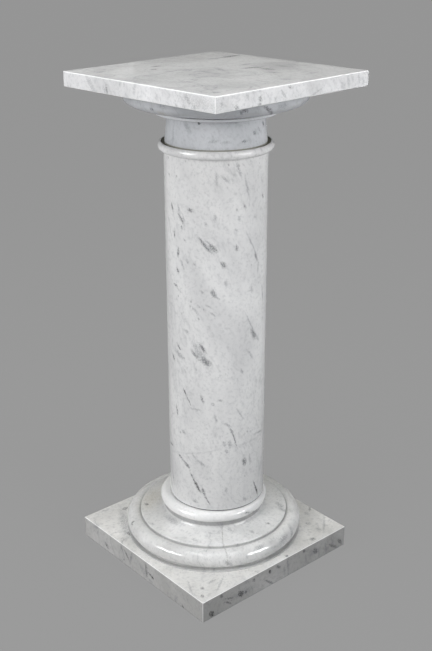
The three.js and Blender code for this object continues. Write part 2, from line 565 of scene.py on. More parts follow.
def blemishes(n, surface, marks, colour, strength, soft=0.45):
    """Marks in the stone, each where the photograph shows it: from one pixel to another, and its width
    in millimetres. soft is the share of a mark that its edge takes up."""
    nearest = FAR_OFF
    for count, (start, end, width) in enumerate(marks.values()):
        if count % MARKS_AT_ONCE == 0:
            n.blown = n.after(n.blown, n.last)
        middle_of, reach, axes = local_frame(surface, start, end)
        half = width / 2 * MARK_SPREAD * MM
        turn = Matrix(axes).transposed().to_euler()
        inner = n.mapped(n.blown, location=middle_of, rotation=turn,
                         scale=(reach + half, half, max(3 * half, reach / 2)), kind="TEXTURE")
        nearest = n.maths("MINIMUM", n.vector("LENGTH", inner), nearest)
        n.last = nearest
    broken = n.maths("MULTIPLY", n.maths("SUBTRACT", 0.5, n.grain), EDGE_BREAK)
    nearest = n.maths("ADD", nearest, broken)
    filling = n.ramp(n.ragged, 0.38, 0.58, 0.35, 1.0)
    n.shade(n.maths("MULTIPLY", n.ramp(nearest, 1 - soft, 1 + soft, strength, 0.0), filling), colour)


def band(n, low, high, fade):
    """1 between two levels of the stone, going to 0 over fade beyond them, a little unevenly."""
    level = n.add("ShaderNodeSeparateXYZ", {0: n.place}).outputs[2]
    uneven = n.maths("MULTIPLY", n.maths("SUBTRACT", n.ragged, 0.5), fade)
    level = n.maths("ADD", level, uneven)
    return n.maths("MULTIPLY", n.ramp(level, low - fade, low), n.ramp(level, high, high + fade, 1.0, 0.0))


def inside_of(n, axis, radius, fade):
    """1 nearer than radius to the vertical line through axis, going to 0 over fade beyond it."""
    off = n.vector("SUBTRACT", n.place, (axis.x, axis.y, 0))
    away = n.vector("LENGTH", n.vector("MULTIPLY", off, (1, 1, 0)))
    return n.ramp(away, radius, radius + fade, 1.0, 0.0)


def crease(n, axis, radius, level, reach):
    """1 in a turned crease, going to 0 at a distance of reach from it."""
    off = n.vector("SUBTRACT", n.place, (axis.x, axis.y, level))
    out = n.vector("LENGTH", n.vector("MULTIPLY", off, (1, 1, 0)))
    across = n.maths("SUBTRACT", out, radius)
    above = n.add("ShaderNodeSeparateXYZ", {0: off}).outputs[2]
    away = n.vector("LENGTH", n.add("ShaderNodeCombineXYZ", {0: across, 1: above}).outputs[0])
    away = n.maths("ADD", away, n.maths("MULTIPLY", n.ragged, reach / 2))
    return n.ramp(away, reach / 2, 1.4 * reach, 1.0, 0.0)


def upright(n):
    """1 on upright faces, 0 on level ones."""
    normal = n.add("ShaderNodeNewGeometry").outputs["Normal"]
    slope = n.maths("ABSOLUTE", n.add("ShaderNodeSeparateXYZ", {0: normal}).outputs[2], None)
    return n.ramp(slope, 0.5, 0.9, 1.0, 0.0)


def arrises(n, strength):
    """Paints a highlight on the eased edges of a square stone, lighter than its faces."""
    normal = n.vector("ABSOLUTE", n.add("ShaderNodeNewGeometry").outputs["Normal"])
    parts = n.add("ShaderNodeSeparateXYZ", {0: normal}).outputs
    squarest = n.maths("MAXIMUM", n.maths("MAXIMUM", parts[0], parts[1]), parts[2])
    n.shade(n.ramp(squarest, 0.85, 0.97, strength, 0.0), WHITE)


def close(n):
    """Hands the finished colour and polish to the shader and returns the material."""
    n.set(n.shader.inputs["Base Color"], n.colour)
    n.set(n.shader.inputs["Roughness"], n.polish)
    return n.material


# Marks, read from the photograph: from where to where in pixels, and the width in millimetres

SHAFT_BLACK = {
    "long dash, low left, its dark half": ((194.5, 481.0), (199.0, 489.5), 2.6),
    "dash by the right edge, near the foot": ((255.4, 487.0), (257.2, 493.0), 2.6),
    "hair, left, its upper half": ((183.8, 389.5), (186.3, 395.5), 1.6),
}
SHAFT_DARK = {
    "dash, upper left": ((171.6, 204.0), (172.8, 210.0), 2.4),
    "slanted dash, upper left": ((179.0, 214.5), (182.8, 222.0), 2.6),
    "spot beside it": ((189.2, 210.0), (191.2, 211.0), 3.0),
    "spot below it": ((181.4, 226.5), (181.6, 228.0), 2.0),
    "spot, left": ((174.2, 232.0), (174.5, 235.5), 2.2),
    "patch, left": ((178.2, 249.0), (178.0, 255.0), 2.6),
    "spot under the patch": ((177.2, 269.0), (178.2, 271.5), 2.6),
    "dash, left": ((174.6, 284.0), (176.2, 285.4), 2.4),
    "wedge, its left arm": ((200.0, 239.0), (207.6, 249.5), 2.2),
    "wedge, its right end": ((211.6, 246.5), (215.6, 250.5), 3.8),
    "spot, middle": ((222.8, 264.2), (223.8, 265.6), 3.8),
    "spot, lower middle": ((212.4, 291.8), (214.0, 295.4), 3.8),
    "spot, right, small": ((236.4, 247.0), (236.8, 249.2), 2.8),
    "spot, upper right": ((244.6, 205.8), (245.2, 207.2), 2.4),
    "spot, far upper right": ((262.7, 195.0), (263.0, 197.0), 2.2),
    "patch by the right edge, upper": ((255.4, 255.0), (257.0, 259.0), 2.6),
    "patch by the right edge, middle": ((252.2, 331.0), (254.4, 336.5), 4.6),
    "cluster, upper arm": ((200.6, 345.5), (204.6, 351.5), 3.0),
    "cluster, left arm": ((193.0, 352.0), (197.4, 358.0), 3.2),
    "cluster, foot": ((204.0, 360.5), (208.6, 364.0), 4.8),
    "cluster by the left edge, foot": ((173.2, 355.0), (174.2, 358.5), 2.4),
    "cluster by the left edge, top": ((178.0, 345.0), (179.8, 348.5), 2.4),
    "hair, left, its lower half": ((186.3, 395.5), (190.6, 404.5), 1.1),
    "dash, lower middle left": ((201.2, 396.5), (203.0, 402.0), 2.0),
    "dotted patch, lower left": ((176.6, 406.0), (177.6, 414.5), 2.0),
    "hair, lower right, top": ((230.6, 429.0), (232.4, 433.0), 2.0),
    "hair, lower right": ((232.4, 433.0), (236.4, 445.0), 1.3),
    "oval, lower right": ((244.0, 459.5), (244.6, 463.0), 4.2),
    "chain, low left, first": ((179.4, 455.0), (181.0, 457.0), 2.4),
    "chain, low left, second": ((185.2, 462.5), (188.2, 466.8), 3.0),
    "long dash, low left, its start": ((190.6, 473.0), (194.5, 481.0), 1.5),
    "second long dash, low left": ((202.6, 489.0), (205.0, 496.0), 2.4),
    "second long dash, its end": ((205.0, 496.0), (209.4, 503.6), 1.5),
    "dash by the right edge, its start": ((253.6, 482.0), (255.4, 487.0), 1.6),
    "spot by the left edge, low": ((171.0, 442.6), (172.6, 444.4), 2.8),
}
SHAFT_GREY = {
    "smear over the slanted dash": ((177.8, 204.0), (179.4, 213.0), 1.8),
    "smear right of the slanted dash": ((183.2, 217.0), (184.4, 221.0), 2.0),
    "smear under the collar, right": ((222.4, 177.0), (228.0, 182.0), 2.2),
    "smear under the collar, middle": ((216.4, 175.5), (216.9, 185.0), 1.8),
    "smear right, under the collar": ((237.0, 164.0), (241.0, 176.0), 2.4),
    "smear, right": ((245.6, 180.0), (249.0, 196.0), 2.0),
    "spot, upper middle": ((215.0, 215.5), (215.4, 220.0), 2.4),
    "spot, middle left": ((205.4, 224.0), (206.0, 225.0), 2.4),
    "spot, left middle": ((184.4, 240.0), (185.0, 241.0), 2.0),
    "spot, left, lower": ((186.8, 260.6), (187.8, 262.4), 2.4),
    "smear left of it": ((181.4, 262.0), (183.6, 268.0), 2.2),
    "spot, left of the middle": ((194.0, 264.0), (195.0, 265.0), 1.8),
    "wedge, its filling": ((203.6, 244.0), (212.4, 252.0), 4.4),
    "wedge, its upper edge": ((206.5, 241.5), (212.5, 246.0), 2.2),
    "spot, right middle": ((225.6, 282.6), (226.4, 284.6), 3.0),
    "spot, right": ((235.8, 229.6), (237.0, 230.4), 2.2),
    "spot, right, second": ((239.0, 218.0), (239.6, 220.0), 2.2),
    "spot right of the middle, large": ((251.0, 288.0), (252.0, 291.0), 3.6),
    "tail of the lower middle spot": ((214.8, 296.0), (218.4, 299.0), 2.0),
    "spot left of it": ((201.8, 292.0), (203.0, 293.0), 2.2),
    "pair, first": ((206.6, 305.6), (210.4, 307.4), 2.0),
    "pair, second": ((211.4, 313.4), (214.6, 316.0), 2.2),
    "pair, left": ((193.0, 308.0), (196.8, 312.6), 2.2),
    "spot over the pair": ((198.0, 306.0), (199.2, 307.4), 2.0),
    "dash, left, its lower part": ((176.4, 286.5), (180.2, 291.5), 1.5),
    "line by the right edge": ((248.2, 236.0), (254.2, 249.0), 1.5),
    "line by the right edge, its end": ((254.6, 250.5), (256.0, 254.0), 1.8),
    "line at the right edge": ((262.0, 288.0), (262.6, 300.0), 2.4),
    "line, right": ((246.8, 316.0), (252.6, 329.0), 1.5),
    "smears at the right edge": ((258.4, 262.0), (257.6, 272.0), 1.6),
    "patch by the right edge, its tail": ((255.0, 334.0), (258.4, 340.0), 2.2),
    "spot under the middle, left": ((185.4, 330.8), (187.6, 332.0), 3.2),
    "cluster, haze": ((195.0, 346.0), (206.0, 364.0), 6.5),
    "cluster by the left edge, haze": ((176.0, 350.0), (181.6, 357.0), 4.5),
    "spot, right, lower": ((248.0, 351.0), (252.4, 357.4), 2.2),
    "spot, middle, lower": ((241.4, 370.0), (242.0, 372.0), 2.4),
    "spot, low middle": ((219.4, 400.3), (221.6, 400.8), 2.4),
    "smear, low left": ((192.0, 408.5), (199.0, 410.0), 2.0),
    "spots right of the dash": ((212.0, 404.0), (213.6, 405.0), 2.4),
    "smear, low middle": ((215.2, 416.0), (216.4, 421.5), 2.0),
    "smear, low right": ((237.0, 409.5), (242.4, 417.0), 1.5),
    "smear over the hair": ((224.6, 424.0), (229.4, 426.0), 2.4),
    "spot, lower left": ((182.8, 431.0), (184.2, 433.0), 2.8),
    "spots left of the oval": ((229.2, 442.6), (230.0, 445.4), 3.4),
    "spots left of the oval, lower": ((226.0, 450.6), (227.2, 452.4), 3.0),
    "spots left of the oval, upper": ((223.6, 443.0), (224.6, 445.0), 3.0),
    "chain, haze": ((181.0, 457.5), (185.0, 462.0), 2.6),
    "dotted line, low": ((192.6, 454.4), (195.0, 458.0), 2.2),
    "dotted line, low, its end": ((198.0, 460.6), (204.0, 465.4), 2.6),
    "smear by the left edge": ((172.6, 470.0), (174.2, 482.0), 2.4),
    "haze of the long dash": ((197.0, 488.0), (202.0, 493.0), 2.2),
    "spot by the foot, left": ((194.0, 500.4), (196.0, 501.6), 3.2),
    "spot by the foot, right": ((244.0, 498.0), (245.0, 499.4), 3.0),
    "spot by the foot, middle": ((225.8, 489.0), (226.2, 491.4), 2.6),
    "smear right of the oval": ((249.4, 456.0), (250.2, 462.0), 2.2),
    "smears, lower right edge": ((256.6, 433.0), (261.4, 430.0), 2.4),
}
SHAFT_VEINS = {
    "vein across, left": ((171.4, 450.0), (180.0, 452.4), 2.2),
    "vein across, middle": ((180.0, 452.4), (203.0, 452.8), 1.8),
    "vein across, right": ((203.0, 452.8), (219.4, 449.0), 1.8),
    "vein rising to the right": ((237.4, 445.7), (261.9, 431.6), 2.0),
}


SLAB_DARK = {
    "streak at the back": ((224.5, 57.2), (235.6, 55.6), 7.0),
    "top, right of the middle": ((249.0, 67.7), (259.0, 67.2), 5.0),
    "top, right, spot": ((264.8, 68.8), (270.8, 69.2), 6.0),
    "top, left, first": ((154.2, 66.5), (158.4, 66.2), 5.0),
    "top, left, second": ((152.0, 69.6), (156.0, 69.1), 4.0),
    "left side, vein": ((106.2, 86.0), (107.2, 93.5), 2.4),
    "right side, spot": ((260.0, 98.8), (260.6, 99.6), 4.0),
    "right side, far spot": ((289.8, 86.7), (290.4, 87.3), 2.8),
    "right side, low spot": ((236.5, 107.2), (237.0, 108.6), 3.2),
    "right side, low spot further on": ((259.2, 104.6), (260.0, 105.2), 3.0),
}
SLAB_GREY = {
    "streak at the back, its start": ((211.0, 58.8), (220.0, 57.9), 6.0),
    "top, right, tail": ((243.6, 68.4), (248.4, 68.0), 5.0),
    "top, right, upper": ((243.8, 64.7), (249.2, 63.9), 5.0),
    "top, right, lower": ((269.0, 72.2), (276.6, 72.6), 5.0),
    "top, far right": ((279.4, 65.7), (286.0, 66.3), 5.0),
    "top, right corner": ((310.4, 73.1), (314.6, 72.6), 5.0),
    "top, right front": ((282.8, 79.2), (288.2, 79.4), 5.0),
    "top, middle": ((185.2, 70.3), (189.6, 69.8), 5.0),
    "top, middle right": ((217.0, 68.3), (221.8, 70.2), 6.0),
    "top, middle front": ((185.2, 81.7), (192.0, 82.0), 6.0),
    "top, middle, long": ((199.0, 71.4), (209.0, 72.0), 5.0),
    "top, near corner": ((213.9, 92.6), (217.2, 92.3), 5.0),
    "top, left of the middle": ((167.0, 71.6), (171.2, 71.4), 4.0),
    "top, left front": ((144.0, 76.0), (151.6, 75.8), 4.0),
    "top, left corner": ((99.2, 72.5), (102.4, 71.6), 5.0),
    "left side, smear": ((88.6, 80.5), (93.4, 89.5), 5.0),
    "left side, smear beside it": ((103.6, 88.0), (105.0, 92.4), 3.0),
    "left side, second vein": ((134.6, 85.6), (134.0, 93.0), 3.0),
    "left side, under the arris": ((120.2, 81.4), (119.8, 84.6), 3.2),
    "left side, toward the corner": ((186.4, 97.0), (188.4, 101.0), 3.6),
    "left side, low spots": ((176.4, 105.4), (176.8, 106.2), 2.8),
    "left side, low spot": ((194.0, 106.6), (194.6, 107.6), 2.8),
    "left side, specks": ((183.6, 106.4), (184.0, 107.2), 2.4),
    "right side, by the corner": ((221.6, 104.0), (222.0, 105.2), 3.4),
    "right side, smear": ((247.4, 96.0), (247.8, 97.4), 3.6),
    "right side, far smear": ((342.2, 82.9), (343.6, 87.4), 4.4),
    "right side, far smear, second": ((348.0, 78.6), (349.0, 85.0), 3.4),
    "right side, far spot, second": ((352.6, 78.4), (352.8, 79.6), 3.0),
    "right side, end smear": ((359.0, 75.2), (360.0, 82.4), 3.0),
    "right side, end smear, second": ((363.0, 79.0), (363.4, 82.6), 3.0),
    "right side, middle": ((275.6, 99.4), (276.2, 100.8), 3.4),
}
SLAB_HAZE = {
    "left side, toward the corner": ((186.0, 99.5), (208.0, 106.0), 13.0),
}
SLAB_THREADS = {
    "right side, thread": ((313.6, 94.0), (321.7, 88.6), 1.6),
    "right side, thread, second": ((282.0, 92.0), (286.0, 97.0), 2.0),
}

PLINTH_BLACK = {
    "left side, pit": ((152.3, 577.3), (152.7, 578.1), 3.0),
    "right side, spot by the corner": ((211.0, 613.6), (212.4, 614.4), 5.0),
    "right side, large spot": ((240.0, 593.4), (241.4, 594.2), 5.5),
    "right side, spot": ((269.6, 571.4), (270.0, 572.2), 3.6),
}
PLINTH_DARK = {
    "top, left, spot": ((124.6, 508.9), (126.0, 508.0), 4.4),
    "top, back, spot": ((155.2, 487.7), (158.4, 486.4), 5.0),
    "top, by the torus": ((129.2, 532.9), (129.8, 534.1), 4.4),
    "top, near corner": ((202.2, 588.0), (202.4, 588.8), 3.4),
    "top, near corner, second": ((202.2, 595.6), (202.4, 596.4), 3.0),
    "top, right": ((312.0, 539.2), (313.8, 538.8), 4.6),
    "top, right arris": ((286.6, 555.8), (287.4, 556.4), 3.2),
    "top, far edge, crack": ((309.5, 507.0), (309.8, 510.4), 2.4),
    "left side, spot": ((106.2, 544.2), (107.4, 546.4), 4.0),
    "left side, vein": ((124.9, 551.0), (128.6, 559.0), 2.6),
    "left side, second vein": ((146.0, 565.6), (146.8, 574.6), 4.0),
    "left side, second vein, its fork": ((147.6, 572.0), (151.6, 576.4), 3.0),
    "left side, low": ((182.6, 605.8), (183.0, 606.8), 3.0),
    "right side, upper spot": ((221.2, 596.0), (221.8, 596.6), 3.4),
    "right side, arc": ((226.0, 598.8), (232.4, 597.8), 2.0),
    "right side, arc, second": ((226.0, 602.2), (230.6, 603.4), 2.2),
    "right side, dash": ((265.4, 580.2), (272.4, 583.2), 2.6),
    "right side, spot, second": ((253.8, 579.8), (254.4, 580.4), 3.2),
    "right side, spot, third": ((304.0, 550.6), (304.6, 551.2), 3.2),
    "right side, spot, fourth": ((277.8, 566.8), (279.2, 567.4), 3.6),
    "right side, smear": ((314.6, 549.8), (316.0, 552.0), 4.6),
    "right side, long dash": ((330.4, 544.8), (335.4, 546.8), 3.4),
    "right side, end": ((338.2, 539.8), (341.2, 542.8), 3.4),
    "right side, under the large spot": ((245.6, 592.0), (246.0, 593.2), 2.8),
}
PLINTH_GREY = {
    "top, left arris": ((94.2, 526.6), (97.0, 527.5), 4.0),
    "top, left": ((103.0, 511.0), (106.2, 510.2), 3.4),
    "top, haze by the torus": ((123.0, 513.0), (126.0, 533.0), 9.0),
    "top, near corner, dots": ((188.8, 584.4), (191.6, 592.0), 2.4),
    "top, near corner, smear": ((209.0, 582.6), (213.4, 580.6), 2.6),
    "top, near corner, line": ((223.0, 578.0), (217.4, 589.8), 2.2),
    "top, right, upper": ((306.2, 513.0), (308.0, 514.3), 4.0),
    "top, right, middle": ((307.4, 523.2), (309.0, 523.8), 4.0),
    "top, right, specks": ((318.0, 528.4), (319.0, 529.2), 4.0),
    "top, right, faint line": ((324.3, 518.6), (323.5, 531.4), 2.2),
    "top, right front, dots": ((256.2, 571.4), (257.6, 572.2), 3.0),
    "left side, smear": ((132.0, 554.0), (130.2, 562.2), 3.2),
    "left side, under the pit": ((148.0, 578.0), (151.6, 581.8), 3.0),
    "left side, toward the corner": ((176.2, 597.4), (175.4, 600.4), 4.6),
    "left side, haze": ((141.0, 566.0), (145.0, 574.0), 6.0),
    "right side, vein": ((287.6, 560.0), (288.4, 572.4), 2.6),
    "right side, second vein": ((325.3, 543.6), (326.2, 552.4), 2.4),
    "right side, third vein": ((305.7, 556.0), (306.2, 561.0), 2.6),
    "right side, vein's twin": ((284.4, 568.0), (284.8, 573.6), 2.4),
    "right side, haze": ((236.0, 596.0), (250.0, 589.0), 7.0),
    "right side, far haze": ((312.0, 553.0), (318.0, 550.0), 6.0),
}

BASE_DARK = {
    "torus, left, fleck": ((132.3, 522.4), (133.8, 521.4), 2.6),
    "torus, left, second fleck": ((131.6, 524.0), (132.4, 524.6), 2.0),
    "apron, right": ((267.2, 523.2), (268.8, 523.6), 3.0),
    "apron, left": ((146.0, 504.0), (147.4, 504.4), 3.2),
    "small torus, round chip": ((246.0, 513.0), (248.4, 512.2), 1.6),
    "small torus, chips right of it": ((252.6, 511.4), (256.4, 509.8), 1.4),
}
BASE_GREY = {
    "apron, front right": ((228.8, 529.0), (231.4, 530.6), 3.0),
    "apron, right, specks": ((251.0, 531.4), (252.6, 532.2), 3.0),
    "apron, front": ((237.0, 545.3), (238.8, 546.0), 2.6),
    "apron, left, specks": ((151.4, 523.2), (153.2, 524.4), 3.0),
    "apron, left, smudge": ((168.0, 517.4), (175.0, 522.2), 6.0),
    "apron, front left": ((194.0, 539.4), (196.4, 540.4), 3.0),
    "apron, far right": ((278.0, 503.5), (281.0, 506.0), 6.0),
    "apron, far right, lower": ((280.4, 508.6), (284.0, 510.4), 5.0),
    "torus, right, patch": ((281.6, 541.4), (285.8, 536.2), 6.0),
    "torus, right, specks": ((290.2, 527.0), (291.0, 538.0), 4.0),
    "torus, right, smear": ((257.0, 548.0), (262.0, 546.0), 4.0),
    "torus, front right, under": ((226.8, 562.6), (230.0, 564.4), 4.0),
    "small torus, right, smudge": ((246.0, 513.2), (257.0, 510.4), 4.0),
}
BASE_WARM_PATCH = {
    "apron, left, warm patch": ((149.0, 502.5), (154.4, 493.0), 22.0),
}
BASE_CRACK = {
    "apron": ((222.2, 528.0), (222.8, 543.0), 1.3),
    "lip": ((222.8, 543.0), (225.6, 550.4), 1.4),
    "torus": ((225.6, 550.4), (227.6, 563.8), 1.6),
}

CAPITAL_BLACK = {
    "echinus, right": ((269.0, 109.6), (271.4, 112.4), 3.6),
    "echinus, front right": ((244.0, 110.4), (246.8, 111.0), 3.0),
}
CAPITAL_PIT = {
    "neck, under the fillet": ((198.2, 123.4), (199.8, 123.6), 1.6),
}
CAPITAL_DARK = {
    "echinus, right, its start": ((264.6, 107.2), (268.8, 109.2), 3.0),
    "echinus, right, end": ((271.0, 113.2), (271.4, 114.2), 2.6),
    "echinus, front right, lower": ((241.2, 112.4), (242.0, 114.2), 2.6),
    "echinus, left": ((151.2, 109.2), (152.4, 109.6), 2.6),
    "neck, right, upper": ((263.0, 122.6), (263.6, 124.2), 3.0),
    "neck, right": ((254.0, 132.6), (254.6, 133.6), 2.8),
    "neck, right, dash": ((243.0, 141.6), (246.0, 141.0), 2.2),
}
CAPITAL_GREY = {
    "echinus, middle right": ((280.0, 107.0), (286.0, 105.4), 4.0),
    "echinus, far right": ((302.0, 103.0), (305.0, 102.0), 4.0),
    "echinus, left smear": ((160.0, 106.0), (164.0, 107.4), 4.0),
    "neck, dashes": ((210.0, 142.4), (216.0, 141.6), 2.4),
    "neck, low middle": ((222.0, 143.0), (229.0, 142.2), 2.0),
    "neck, left, smear": ((186.0, 125.0), (189.0, 131.0), 4.0),
    "neck, left, strip": ((173.4, 128.0), (172.8, 141.0), 2.0),
    "neck, right, smear": ((262.6, 122.4), (264.0, 126.0), 3.0),
    "neck, right, second smear": ((258.0, 128.0), (260.0, 131.0), 3.0),
    "neck, middle": ((228.4, 123.0), (236.0, 122.4), 2.6),
}
FILLET_STAIN = {
    "fillet, left": ((161.8, 113.6), (165.0, 114.6), 5.0),
}

# Losses: where the photograph shows them, and the hollow's radius and depth

PIT_UNDER_FILLET = ((199.3, 123.6), 2.0 * MM, 3.0 * MM)
SMALL_TORUS_CHIPS = {
    "round chip": ((247.0, 512.5), 2.0 * MM, 0.9 * MM),
    "chip right of it": ((253.4, 511.0), 1.8 * MM, 0.7 * MM),
    "last chip": ((256.6, 509.6), 1.6 * MM, 0.7 * MM),
}


# The stones

def dress(stone, node, make_material):
    stone.data.materials.append(make_material(surface_of(stone)))
    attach(stone, "root")
    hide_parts(node)


# What the marks, the dirt and the painted shade and light are coloured with
WHITE = rgb(255, 255, 255)
FILLET_PAINTED_LIGHT = rgb(236, 237, 240)
VEIN_PALE = rgb(150, 152, 155)
VEIN_GREY = rgb(118, 121, 127)
VEIN_DARK = rgb(60, 63, 68)
PIT_BLACK = rgb(22, 23, 26)
PIT_DEEPEST = rgb(8, 8, 9)
JOINT_BLACK = rgb(14, 14, 15)
CRACK_GREY = rgb(136, 134, 128)
APRON_WARM_GREY = rgb(176, 168, 148)
NECK_STAIN = rgb(176, 168, 140)
GAP_DIRT_AND_PAINTED_SHADE = rgb(140, 139, 126)
PAINTED_SHADE_GREY = rgb(120, 121, 124)
COLLAR_PAINTED_SHADE = rgb(104, 105, 108)
CREASE_PAINTED_SHADE = rgb(140, 140, 140)
HAZE_AND_PAINTED_SHADE = rgb(150, 150, 150)


def plinth_material(surface):
    n = marble("Plinth marble", rgb(246, 245, 243), rgb(216, 215, 212), 3.1, flecks=0.35, veins=0.5)
    # Painted shade: the upright faces are darkened against the top.
    n.colour = n.mix(upright(n), n.colour, rgb(209, 209, 210), blend="MULTIPLY")
    repeat_behind(n, plinth_axis, sides_only=True)
    blemishes(n, surface, PLINTH_GREY, VEIN_GREY, 0.45, soft=0.7)
    blemishes(n, surface, PLINTH_DARK, VEIN_DARK, 0.65)
    blemishes(n, surface, PLINTH_BLACK, PIT_BLACK, 0.95)
    # Painted highlight along the eased edges.
    arrises(n, 0.8)
    foot, _ = levels("plinth")
    # Painted shade along the foot, where the plinth meets the floor.
    n.shade(band(n, foot, foot + MM, 1.6 * MM), PAINTED_SHADE_GREY, 0.7)
    return close(n)


def base_material(surface):
    n = marble("Base marble", rgb(237, 237, 236), rgb(211, 211, 210), 7.7, flecks=0.3, streaks=0.15)
    foot, top = levels("base_moulding")
    small_foot = top - 2 * SMALL_TORUS_HALF_HEIGHT
    # Painted highlight: a whiter band over the small torus stands in for its sheen.
    n.shade(band(n, small_foot + 5 * MM, top + MM, 3 * MM), WHITE, 0.45)
    repeat_behind(n, plinth_axis, beyond=120 * MM)
    # A warm darker patch on the apron's left.
    blemishes(n, surface, BASE_WARM_PATCH, APRON_WARM_GREY, 0.5, soft=0.9)
    blemishes(n, surface, BASE_GREY, VEIN_GREY, 0.5, soft=0.7)
    blemishes(n, surface, BASE_DARK, VEIN_DARK, 0.65)
    blemishes(n, surface, BASE_CRACK, CRACK_GREY, 0.55, soft=0.6)
    reach = PLINTH_SIDE / 2 - PLINTH_MARGIN
    lip_radius = reach - LARGE_TORUS_HALF_HEIGHT - LIP_SET_BACK
    rise = math.sqrt(LARGE_TORUS_HALF_HEIGHT ** 2 - LIP_SET_BACK ** 2)
    lip_foot = foot + FOOT_FILLET_HEIGHT + LARGE_TORUS_HALF_HEIGHT + rise
    # Painted shade in the crease between the lip and the large torus.
    n.shade(crease(n, plinth_axis, lip_radius, lip_foot + 1.2 * MM, 4.4 * MM), CREASE_PAINTED_SHADE, 0.5)
    # Painted shade in the collar and cove under the small torus.
    n.shade(band(n, small_foot - 7 * MM, small_foot + MM, 2 * MM), COLLAR_PAINTED_SHADE, 0.5)
    # Painted shade over the lower part of the large torus.
    n.shade(band(n, foot + 3 * MM, foot + 6 * MM, 8 * MM), HAZE_AND_PAINTED_SHADE, 0.4)
    return close(n)


def shaft_material(surface):
    n = marble("Shaft marble", rgb(230, 230, 230), rgb(210, 210, 211), 12.9, flecks=0.45, veins=0.2)
    repeat_behind(n, shaft_axis)
    blemishes(n, surface, SHAFT_VEINS, VEIN_PALE, 0.25, soft=0.9)
    blemishes(n, surface, SHAFT_GREY, VEIN_GREY, 0.55, soft=0.75)
    blemishes(n, surface, SHAFT_DARK, VEIN_DARK, 0.78, soft=0.65)
    blemishes(n, surface, SHAFT_BLACK, PIT_BLACK, 1.0)
    foot, top = levels("shaft")
    n.shade(band(n, foot - MM, foot + 1.8 * MM, 0.8 * MM), JOINT_BLACK)
    # Dirt and painted shade in the seat round the neck's foot.
    seat = inside_of(n, shaft_axis, astragal_centre() - SEAT_RIM / 2, 0.6 * MM)
    n.shade(n.maths("MULTIPLY", seat, band(n, top - 2 * SEAT_DEPTH, top + MM, MM)), GAP_DIRT_AND_PAINTED_SHADE)
    return close(n)


def capital_material(surface):
    n = marble("Capital marble", rgb(203, 205, 209), rgb(184, 187, 191), 19.3, flecks=0.3, veins=0.25)
    repeat_behind(n, capital_axis)
    blemishes(n, surface, CAPITAL_GREY, VEIN_GREY, 0.4, soft=0.7)
    blemishes(n, surface, CAPITAL_DARK, VEIN_DARK, 0.6)
    blemishes(n, surface, CAPITAL_BLACK, PIT_BLACK, 0.65)
    blemishes(n, surface, CAPITAL_PIT, PIT_DEEPEST, 1.0)
    blemishes(n, surface, FILLET_STAIN, NECK_STAIN, 0.5, soft=0.8)
    foot, _ = levels("capital")
    seat_rim = levels("shaft")[1]
    # Dirt and painted shade on the neck's foot, down in the seat.
    n.shade(band(n, foot - MM, seat_rim + 0.4 * MM, 1.2 * MM), GAP_DIRT_AND_PAINTED_SHADE, 0.85)
    neck_top = foot + NECK_HEIGHT
    fillet_top = neck_top + NECK_FILLET_HEIGHT
    # Painted light on the fillet's face.
    n.shade(band(n, neck_top + 0.8 * MM, fillet_top - 0.8 * MM, 0.5 * MM), FILLET_PAINTED_LIGHT, 0.45)
    # Painted shade on the neck just under the fillet.
    n.shade(band(n, neck_top - 2.2 * MM, neck_top + 0.3 * MM, 0.8 * MM), PAINTED_SHADE_GREY, 0.5)
    # Painted shade over the echinus, under the slab.
    n.shade(band(n, fillet_top, fillet_top + 60 * MM, MM), PAINTED_SHADE_GREY, 0.2)
    # Painted shade in the quirk above the fillet.
    n.shade(band(n, fillet_top - 0.5 * MM, fillet_top + QUIRK_HEIGHT, MM), PAINTED_SHADE_GREY, 0.6)
    return close(n)


def slab_material(surface):
    n = marble("Slab marble", rgb(236, 236, 236), rgb(211, 211, 211), 27.1,
               flecks=0.3, veins=0.3, streaks=0.12)
    # Painted shade: the upright faces are a little darker than the top.
    n.colour = n.mix(upright(n), n.colour, rgb(251, 251, 252), blend="MULTIPLY")
    repeat_behind(n, middle("top_slab"), sides_only=True)
    blemishes(n, surface, SLAB_HAZE, HAZE_AND_PAINTED_SHADE, 0.42, soft=0.9)
    blemishes(n, surface, SLAB_THREADS, VEIN_PALE, 0.6, soft=0.7)
    blemishes(n, surface, SLAB_GREY, VEIN_GREY, 0.4, soft=0.7)
    blemishes(n, surface, SLAB_DARK, VEIN_DARK, 0.58, soft=0.6)
    # Painted highlight along the eased edges.
    arrises(n, 0.6)
    return close(n)


shaft_axis = middle("shaft")
plinth_axis = middle("plinth")
capital_axis = middle("capital")

plinth = square_stone("Plinth_stone", "plinth", PLINTH_SIDE, PLINTH_ARRIS, 0)
base = turned("Base_moulding_stone", eased(base_outline(), FINE_EASE), plinth_axis)
shaft = turned("Shaft_stone", eased(shaft_outline(), FINE_EASE), shaft_axis)
capital = turned("Capital_stone", eased(capital_outline(), FINE_EASE), capital_axis)
slab = square_stone("Top_slab_stone", "top_slab", SLAB_SIDE, SLAB_ARRIS, SLAB_TURN)

dent(capital, *PIT_UNDER_FILLET)
for chip in SMALL_TORUS_CHIPS.values():
    dent(base, *chip)

dress(plinth, "plinth", plinth_material)
dress(base, "base_moulding", base_material)
dress(shaft, "shaft", shaft_material)
dress(capital, "capital", capital_material)
dress(slab, "top_slab", slab_material)


# Floor, light and camera

FLOOR_REACH = 60
FLOOR_GLOW = 0.30
FLOOR_TONE = 0.02
ROOM_SEEN = 0.31
ROOM_LIGHT = 0.03


